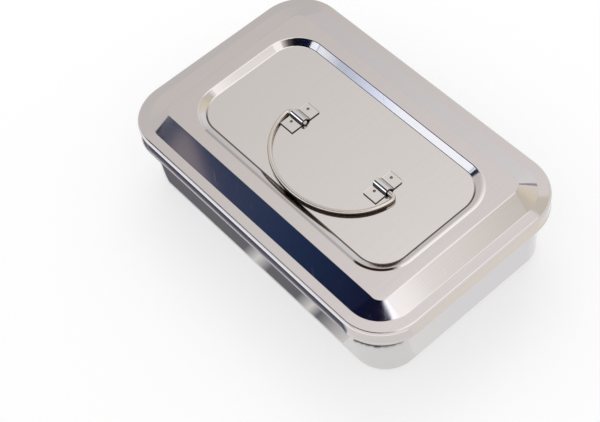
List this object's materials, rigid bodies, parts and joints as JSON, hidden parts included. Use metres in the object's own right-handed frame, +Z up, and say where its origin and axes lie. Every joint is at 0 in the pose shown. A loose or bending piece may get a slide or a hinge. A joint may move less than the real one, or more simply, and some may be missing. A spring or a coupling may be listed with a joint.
{
  "type": "sterilization container",
  "caption": "Rectangular stainless steel instrument tray with a stepped lift-off lid and a flat-lying wire bail handle in strap clips.",
  "frame": {"origin": "middle of the pan's flat underside, on the surface that the container stands on", "axes": "+X along the length, +Y along the width, towards the long side that the lying bail points away from, +Z up through the lid"},
  "size_m": [0.25, 0.162, 0.0649],
  "materials": {
    "pan_steel": "polished stainless sheet with fine drawing lines",
    "lid_steel": "polished stainless sheet, satin on the panel",
    "bail_wire_steel": "bright drawn stainless wire",
    "clip_steel": "polished stainless strap",
    "weld_steel": "dull weld mark, slightly heat-darkened"
  },
  "bodies": {
    "pan": {"tray_pan": "pan_steel"},
    "cover": {"lid": "lid_steel", "handle_clip_left": "clip_steel", "handle_clip_right": "clip_steel", "spot_weld_left_front": "weld_steel", "spot_weld_left_rear": "weld_steel", "spot_weld_right_front": "weld_steel", "spot_weld_right_rear": "weld_steel"},
    "bail": {"bail_handle": "bail_wire_steel"}
  },
  "joints": [
    {"name": "lid_lift", "type": "slide", "parent": "pan", "child": "cover", "axis": [0, 0, 1], "range_m": [0, 0.08]},
    {"name": "bail_swing", "type": "hinge", "parent": "cover", "child": "bail", "pos_m": [0.0052, -0.00085, 0.06218], "axis": [-1, 0, 0], "range_deg": [0, 176]}
  ]
}
